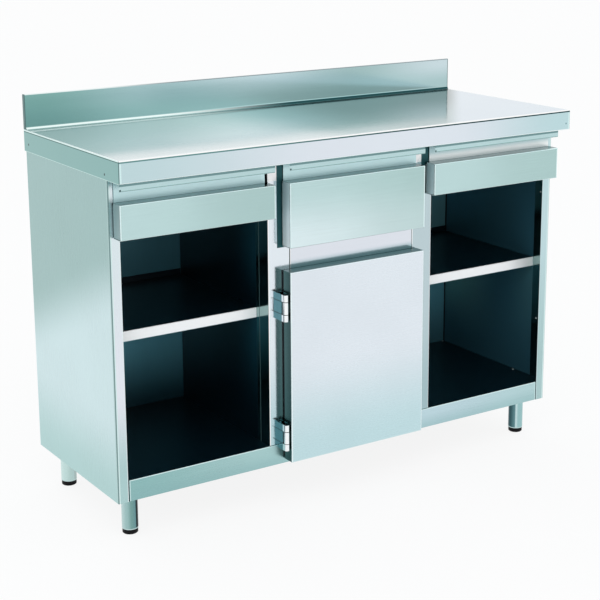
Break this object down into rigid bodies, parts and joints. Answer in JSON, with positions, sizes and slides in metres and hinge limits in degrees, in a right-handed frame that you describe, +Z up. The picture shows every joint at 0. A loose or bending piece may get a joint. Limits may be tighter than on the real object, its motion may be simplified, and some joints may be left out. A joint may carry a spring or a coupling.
{
  "type": "coffee station counter",
  "caption": "Folded steel bar counter with a splash, open bays with shelves, a hinged cupboard door, sliding drawers with finger channels and adjustable legs.",
  "frame": {"origin": "centre of the footprint on the floor", "axes": "+X along the counter, -Y towards the user at the front, +Z up"},
  "size_m": [1.5, 0.6, 1.15],
  "materials": {
    "worktop_steel": "satin, fine brushing along the counter, with clear reflections",
    "satin_steel": "satin brushed sheet",
    "drawer_steel": "pale satin brushed sheet with a cool tint",
    "door_steel": "pale satin brushed sheet",
    "inner_steel": "bright sheet in deep shade",
    "mirror_steel": "bright sheet that mirrors its neighbours",
    "brushed_tube": "round tube brushed round its girth",
    "hinge_chrome": "bright polished",
    "runner_zinc": "bright zinc-plated rolled steel",
    "fastener_steel": "plain bright steel",
    "black_plastic": "moulded black plastic",
    "rubber": "moulded black rubber",
    "board": "water-resistant board",
    "core_board": "light sound-deadening board"
  },
  "bodies": {
    "carcass": {"worktop": "worktop_steel", "worktop_board": "board", "worktop_screws": "fastener_steel", "top_front_rail": "satin_steel", "top_back_rail": "satin_steel", "left_side_panel": "satin_steel", "right_side_panel": "satin_steel", "left_divider_post": "mirror_steel", "right_divider_post": "mirror_steel", "left_divider_panel": "inner_steel", "right_divider_panel": "inner_steel", "cross_rail": "mirror_steel", "back_panel": "inner_steel", "base_tray": "satin_steel", "left_base_beam": "satin_steel", "right_base_beam": "satin_steel", "left_shelf": "satin_steel", "right_shelf": "satin_steel", "left_shelf_angles": "satin_steel", "right_shelf_angles": "satin_steel", "left_runner_spacer": "satin_steel", "right_runner_spacer": "satin_steel", "left_outer_runners": "runner_zinc", "centre_outer_runners": "runner_zinc", "right_outer_runners": "runner_zinc", "fixed_hinge_leaves": "hinge_chrome", "hinge_pins": "hinge_chrome", "magnetic_catch": "black_plastic", "front_left_leg": "brushed_tube", "front_right_leg": "brushed_tube", "rear_left_leg": "brushed_tube", "rear_right_leg": "brushed_tube", "leg_inserts": "black_plastic", "leg_bolts": "fastener_steel", "leg_nuts": "fastener_steel"},
    "left_middle_slide": {"left_middle_runners": "runner_zinc"},
    "centre_middle_slide": {"centre_middle_runners": "runner_zinc"},
    "right_middle_slide": {"right_middle_runners": "runner_zinc"},
    "left_drawer": {"left_drawer_front": "drawer_steel", "left_drawer_box": "satin_steel", "left_inner_runners": "runner_zinc"},
    "centre_drawer": {"centre_drawer_front": "drawer_steel", "centre_drawer_box": "satin_steel", "centre_inner_runners": "runner_zinc", "knock_bar": "brushed_tube", "knock_bar_sleeve": "rubber"},
    "right_drawer": {"right_drawer_front": "drawer_steel", "right_drawer_box": "satin_steel", "right_inner_runners": "runner_zinc"},
    "door": {"door_outer_panel": "door_steel", "door_inner_panel": "satin_steel", "door_core": "core_board", "door_hinge_leaves": "hinge_chrome", "door_hinge_screws": "fastener_steel", "door_buffers": "rubber", "door_strike_plate": "fastener_steel"},
    "front_left_foot": {"front_left_foot": "black_plastic"},
    "front_right_foot": {"front_right_foot": "black_plastic"},
    "rear_left_foot": {"rear_left_foot": "black_plastic"},
    "rear_right_foot": {"rear_right_foot": "black_plastic"}
  },
  "joints": [
    {"name": "left_drawer_slide", "type": "slide", "parent": "carcass", "child": "left_drawer", "axis": [0, -1, 0], "range_m": [0, 0.4]},
    {"name": "left_middle_slide_travel", "type": "slide", "parent": "carcass", "child": "left_middle_slide", "axis": [0, -1, 0], "range_m": [0, 0.2]},
    {"name": "centre_drawer_slide", "type": "slide", "parent": "carcass", "child": "centre_drawer", "axis": [0, -1, 0], "range_m": [0, 0.4]},
    {"name": "centre_middle_slide_travel", "type": "slide", "parent": "carcass", "child": "centre_middle_slide", "axis": [0, -1, 0], "range_m": [0, 0.2]},
    {"name": "right_drawer_slide", "type": "slide", "parent": "carcass", "child": "right_drawer", "axis": [0, -1, 0], "range_m": [0, 0.4]},
    {"name": "right_middle_slide_travel", "type": "slide", "parent": "carcass", "child": "right_middle_slide", "axis": [0, -1, 0], "range_m": [0, 0.2]},
    {"name": "door_hinge", "type": "hinge", "parent": "carcass", "child": "door", "pos_m": [-0.2385, -0.255, 0.4], "axis": [0, 0, -1], "range_deg": [0, 170]},
    {"name": "front_left_foot_height", "type": "slide", "parent": "carcass", "child": "front_left_foot", "axis": [0, 0, -1], "range_m": [0, 0.025]},
    {"name": "front_right_foot_height", "type": "slide", "parent": "carcass", "child": "front_right_foot", "axis": [0, 0, -1], "range_m": [0, 0.025]},
    {"name": "rear_left_foot_height", "type": "slide", "parent": "carcass", "child": "rear_left_foot", "axis": [0, 0, -1], "range_m": [0, 0.025]},
    {"name": "rear_right_foot_height", "type": "slide", "parent": "carcass", "child": "rear_right_foot", "axis": [0, 0, -1], "range_m": [0, 0.025]}
  ],
  "couplings": [
    {"joint": "left_middle_slide_travel", "follows": "left_drawer_slide", "ratio": 0.5},
    {"joint": "centre_middle_slide_travel", "follows": "centre_drawer_slide", "ratio": 0.5},
    {"joint": "right_middle_slide_travel", "follows": "right_drawer_slide", "ratio": 0.5}
  ]
}
